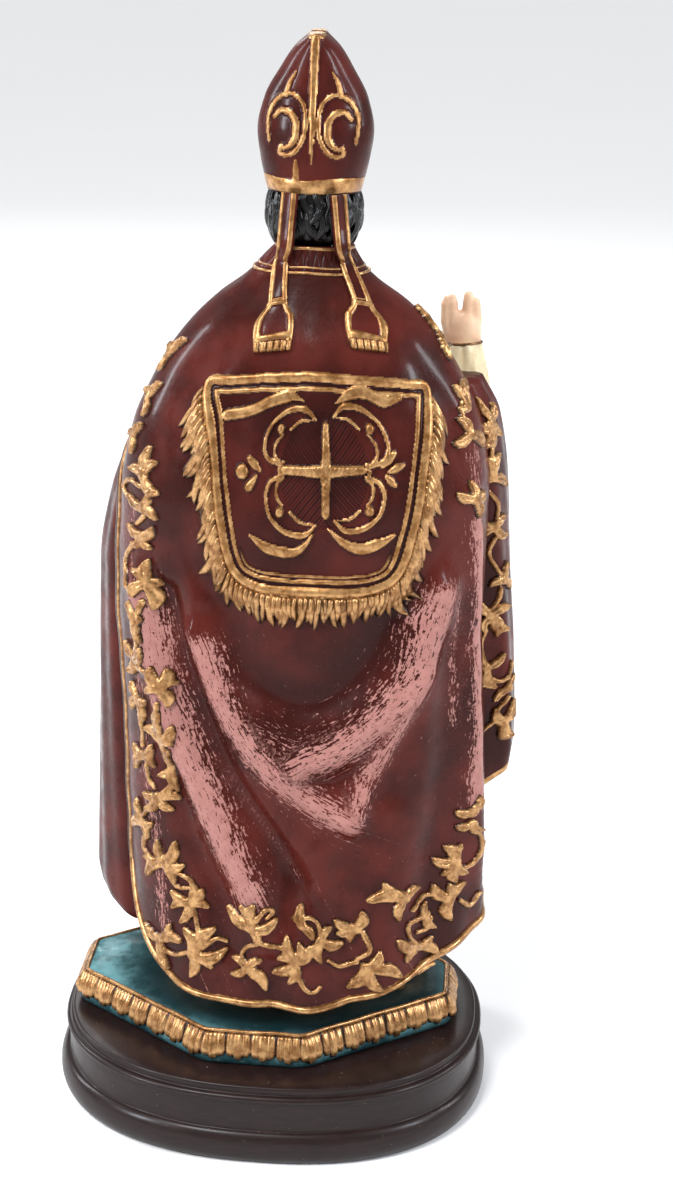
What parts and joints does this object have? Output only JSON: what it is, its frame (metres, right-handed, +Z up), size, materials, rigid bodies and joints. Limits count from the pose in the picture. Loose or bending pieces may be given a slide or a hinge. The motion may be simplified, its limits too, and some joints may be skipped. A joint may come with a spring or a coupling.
{
  "type": "saint statue",
  "caption": "Painted statue of a bishop saint in a dark red cope with a fringed hood, a mitre and a raised right hand, on a moulded oval plinth.",
  "frame": {"origin": "middle of the plinth's underside", "axes": "+Z up through the figure, the figure's front faces -Y, its back +Y, and its raised right hand is at -X"},
  "size_m": [0.1719, 0.138, 0.4002],
  "materials": {
    "paint": "glossy painted with gilt ornament",
    "lacquer": "satin dark lacquer"
  },
  "bodies": {
    "root": {"plinth": "lacquer", "figure": "paint"}
  },
  "joints": []
}
